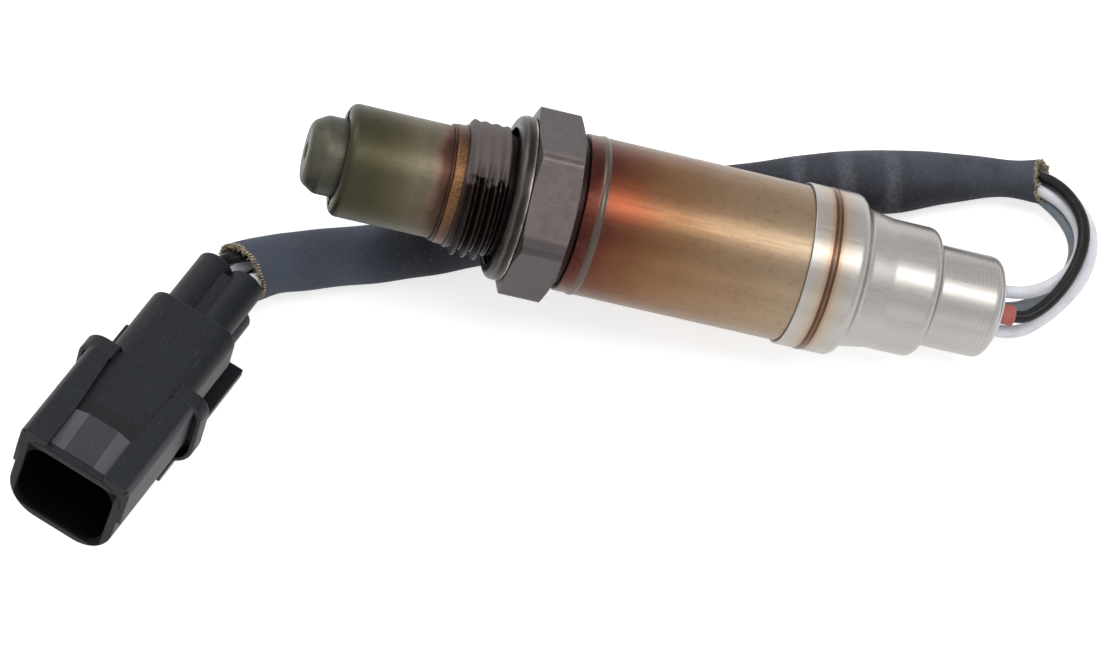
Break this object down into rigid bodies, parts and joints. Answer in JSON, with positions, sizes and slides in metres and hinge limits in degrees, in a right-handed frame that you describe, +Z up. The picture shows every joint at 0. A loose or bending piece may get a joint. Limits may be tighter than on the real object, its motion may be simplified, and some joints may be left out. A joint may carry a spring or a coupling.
{
  "type": "oxygen sensor",
  "caption": "Heated oxygen sensor with a threaded hexagon body, stepped steel cap, insulated leads and a sealed plug.",
  "frame": {"origin": "centre of the gasket's seat face, on the sensor's axis", "axes": "+Z up from the surface the part lies on; +X along the sensor's axis seen from above, from the nose towards the cap. The axis itself slopes 13.7 degrees down towards the cap, as the sensor rests."},
  "size_m": [0.1364, 0.0766, 0.0346],
  "materials": {
    "body_steel": "heat-tinted steel, mauve grey on the hexagon, dark brown on the thread",
    "gasket_steel": "dull steel with a bright worn edge",
    "tube_steel": "olive and khaki heat tint",
    "knob_steel": "dark olive-grey heat tint",
    "sleeve_steel": "heat tint from copper red at the hexagon to champagne at the cap",
    "cap_steel": "bright satin stainless",
    "white_grommet": "bluish white",
    "ceramic": "unglazed off-white ceramic",
    "element_ceramic": "fine white ceramic",
    "spring_steel": "rolled spring steel",
    "contact_metal": "nickel-plated",
    "red_seal": "salmon red, dull",
    "black_insulation": "smooth, slightly glossy",
    "grey_insulation": "smooth",
    "white_insulation": "smooth",
    "hose_fabric": "coated glass braid, slate grey, frayed at the ends",
    "connector_plastic": "moulded, lightly scuffed",
    "lock_plastic": "moulded",
    "wire_seal": "dull",
    "terminal_metal": "tin-plated"
  },
  "bodies": {
    "root": {"sensor_housing": "body_steel", "gasket": "gasket_steel", "outer_protection_tube": "tube_steel", "inner_protection_tube": "knob_steel", "protective_sleeve": "sleeve_steel", "stepped_cap": "cap_steel", "lead_grommet": "white_grommet", "front_ceramic": "ceramic", "powder_packing": "ceramic", "rear_ceramic": "ceramic", "sensor_element": "element_ceramic", "contact_holder_upper": "ceramic", "contact_holder_lower": "ceramic", "holder_spring": "spring_steel", "lead_black": "black_insulation", "lead_grey": "grey_insulation", "lead_white_1": "white_insulation", "lead_white_2": "white_insulation", "lead_ends": "black_insulation", "insulating_sleeve": "hose_fabric", "connector_housing": "connector_plastic", "terminal_lock": "lock_plastic", "contact_clip_1": "contact_metal", "lead_seal_1": "red_seal", "wire_seal_1": "wire_seal", "terminal_1": "terminal_metal", "contact_clip_2": "contact_metal", "lead_seal_2": "red_seal", "wire_seal_2": "wire_seal", "terminal_2": "terminal_metal", "contact_clip_3": "contact_metal", "lead_seal_3": "red_seal", "wire_seal_3": "wire_seal", "terminal_3": "terminal_metal", "contact_clip_4": "contact_metal", "lead_seal_4": "red_seal", "wire_seal_4": "wire_seal", "terminal_4": "terminal_metal"}
  },
  "joints": []
}
